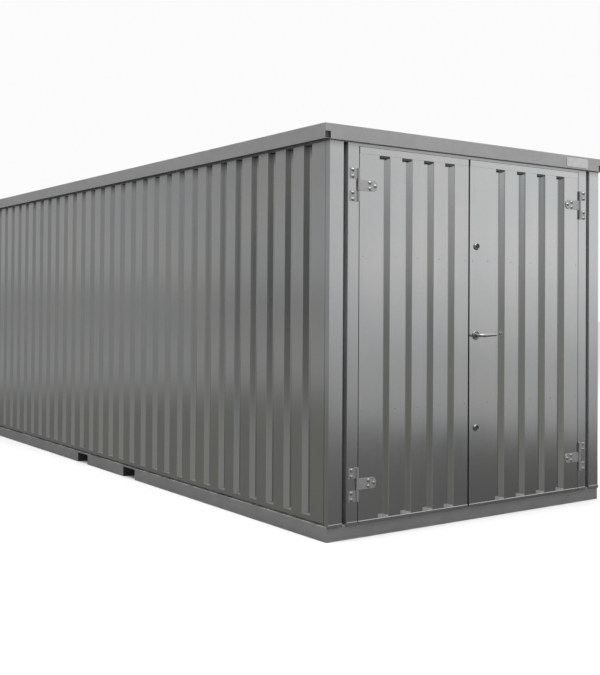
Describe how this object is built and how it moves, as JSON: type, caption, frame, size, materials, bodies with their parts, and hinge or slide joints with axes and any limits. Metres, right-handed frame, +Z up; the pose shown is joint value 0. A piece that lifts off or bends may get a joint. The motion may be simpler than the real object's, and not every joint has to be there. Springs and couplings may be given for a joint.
{
  "type": "demountable storage container",
  "caption": "Flat-pack galvanised steel storage container with corrugated walls, a flat roof edge, fork pockets in the base and an outward-opening double door with lever handle.",
  "frame": {"origin": "centre of the base frame's underside, on the ground", "axes": "+X across to the right seen facing the doors, +Y along the length from the doors to the rear, +Z up"},
  "size_m": [2.23, 5.2985, 2.15],
  "materials": {
    "galvanised_sheet": "smooth bright galvanised sheet",
    "galvanised_base": "dull hot-dip galvanised",
    "galvanised_fascia": "satin galvanised sheet",
    "hinge_zinc": "zinc plated",
    "handle_metal": "satin",
    "lock_metal": "satin",
    "plate": "blank, satin",
    "plywood": "film-faced"
  },
  "bodies": {
    "container": {"base_rail_front": "galvanised_base", "base_rail_left": "galvanised_base", "base_rail_rear": "galvanised_base", "base_rail_right": "galvanised_base", "door_header": "galvanised_sheet", "door_jamb_left": "galvanised_sheet", "door_jamb_right": "galvanised_sheet", "door_sill": "galvanised_sheet", "floor_boards": "plywood", "floor_joists": "galvanised_base", "fork_pocket_front": "galvanised_base", "fork_pocket_rear": "galvanised_base", "hinge_leaves_left": "hinge_zinc", "hinge_leaves_right": "hinge_zinc", "name_plate": "plate", "post_front_left": "galvanised_sheet", "post_front_right": "galvanised_sheet", "post_rear_left": "galvanised_sheet", "post_rear_right": "galvanised_sheet", "roof_fascia_front": "galvanised_fascia", "roof_fascia_left": "galvanised_fascia", "roof_fascia_rear": "galvanised_fascia", "roof_fascia_right": "galvanised_fascia", "roof_purlins": "galvanised_sheet", "roof_sheet": "galvanised_sheet", "wall_left_front": "galvanised_sheet", "wall_left_middle": "galvanised_sheet", "wall_left_rear": "galvanised_sheet", "wall_rear_left": "galvanised_sheet", "wall_rear_right": "galvanised_sheet", "wall_right_front": "galvanised_sheet", "wall_right_middle": "galvanised_sheet", "wall_right_rear": "galvanised_sheet"},
    "left_door": {"left_leaf_rails": "galvanised_sheet", "left_leaf_sheet": "galvanised_sheet", "left_leaf_stiles": "galvanised_sheet", "left_leaf_straps": "hinge_zinc"},
    "right_door": {"right_leaf_rails": "galvanised_sheet", "right_leaf_sheet": "galvanised_sheet", "right_leaf_stiles": "galvanised_sheet", "right_leaf_straps": "hinge_zinc", "handle_rose": "handle_metal", "lock_cylinders": "lock_metal"},
    "handle": {"handle_lever": "handle_metal"}
  },
  "joints": [
    {"name": "left_door_hinge", "type": "hinge", "parent": "container", "child": "left_door", "pos_m": [-0.893, -2.6255, 1.0635], "axis": [0, 0, -1], "range_deg": [0, 180]},
    {"name": "right_door_hinge", "type": "hinge", "parent": "container", "child": "right_door", "pos_m": [0.893, -2.6255, 1.0635], "axis": [0, 0, 1], "range_deg": [0, 180]},
    {"name": "handle_turn", "type": "hinge", "parent": "right_door", "child": "handle", "pos_m": [-0.017, -2.647, 1.048], "axis": [0, 1, 0], "range_deg": [0, 45], "stiffness_Nm_per_rad": 1.5, "springref_deg": -20.05}
  ]
}
